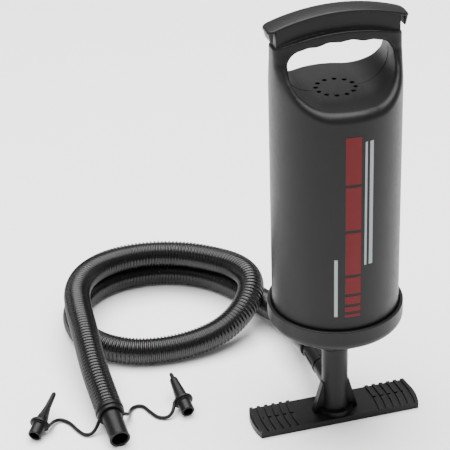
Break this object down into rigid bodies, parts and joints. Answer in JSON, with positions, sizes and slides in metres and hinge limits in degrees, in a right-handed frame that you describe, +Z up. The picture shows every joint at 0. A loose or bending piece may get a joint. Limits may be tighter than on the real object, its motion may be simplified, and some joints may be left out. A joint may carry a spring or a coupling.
{
  "type": "foot plate hand air pump",
  "caption": "Double-action barrel pump with a looped grip, fixed shaft on a foot plate, corrugated hose and tethered nozzle adaptors for filling inflatables.",
  "frame": {"origin": "on the floor, on the shaft's axis", "axes": "+Z up, +X along the foot plate, -Y the front with the print; the hose leaves to the rear, +Y"},
  "size_m": [0.382, 0.3789, 0.4304],
  "materials": {
    "black_plastic": "moulded, faint sheen",
    "charcoal_plastic": "blow-moulded, satin with a fine grain",
    "hose_plastic": "corrugated, shiny on the ribs",
    "soft_rubber": "matt, greased",
    "inner_plastic": "natural moulded plastic, inside only",
    "valve_sheet": "flat flexible sheet",
    "screw_steel": "zinc plated",
    "red_ink": "printed",
    "pale_ink": "printed"
  },
  "bodies": {
    "base": {"foot_plate": "black_plastic", "base_screw": "screw_steel", "shaft": "charcoal_plastic", "shaft_plug": "inner_plastic", "hose_coupling": "charcoal_plastic", "coupling_oring": "soft_rubber", "hose_cuff": "black_plastic", "hose": "hose_plastic", "hose_nozzle": "black_plastic", "plain_adaptor": "black_plastic", "stepped_adaptor": "black_plastic", "adaptor_tether": "black_plastic", "piston_body": "inner_plastic", "piston_cover": "inner_plastic", "piston_ring": "soft_rubber", "rebound_ring": "soft_rubber", "piston_screws": "screw_steel", "shaft_screws": "screw_steel"},
    "guide": {"guide_bush": "inner_plastic"},
    "barrel": {"barrel": "charcoal_plastic", "grip_cover": "charcoal_plastic", "intake_guard": "inner_plastic", "guard_screw": "screw_steel", "bottom_cap": "charcoal_plastic", "cap_gasket": "soft_rubber", "rod_seal": "soft_rubber", "valve_plate": "inner_plastic", "valve_retainer": "inner_plastic", "retainer_screws": "screw_steel", "red_print": "red_ink", "pale_print": "pale_ink"},
    "top_intake": {"top_intake_valve": "valve_sheet"},
    "bottom_intake": {"bottom_intake_valve": "valve_sheet"},
    "lower_delivery": {"lower_delivery_valve": "valve_sheet"},
    "upper_delivery": {"upper_delivery_valve": "valve_sheet"}
  },
  "joints": [
    {"name": "barrel_slide", "type": "slide", "parent": "base", "child": "guide", "axis": [0, 0, 1], "range_m": [0, 0.187]},
    {"name": "barrel_turn", "type": "hinge", "parent": "guide", "child": "barrel", "pos_m": [0, 0, 0.2], "axis": [0, 0, 1], "continuous": true},
    {"name": "top_intake_lift", "type": "slide", "parent": "barrel", "child": "top_intake", "axis": [0, 0, 1], "range_m": [0, 0.0015]},
    {"name": "bottom_intake_lift", "type": "slide", "parent": "barrel", "child": "bottom_intake", "axis": [0, 0, 1], "range_m": [0, 0.0015]},
    {"name": "lower_delivery_lift", "type": "slide", "parent": "base", "child": "lower_delivery", "axis": [0, 0, 1], "range_m": [0, 0.0015]},
    {"name": "upper_delivery_lift", "type": "slide", "parent": "base", "child": "upper_delivery", "axis": [0, 0, 1], "range_m": [0, 0.0015]}
  ]
}
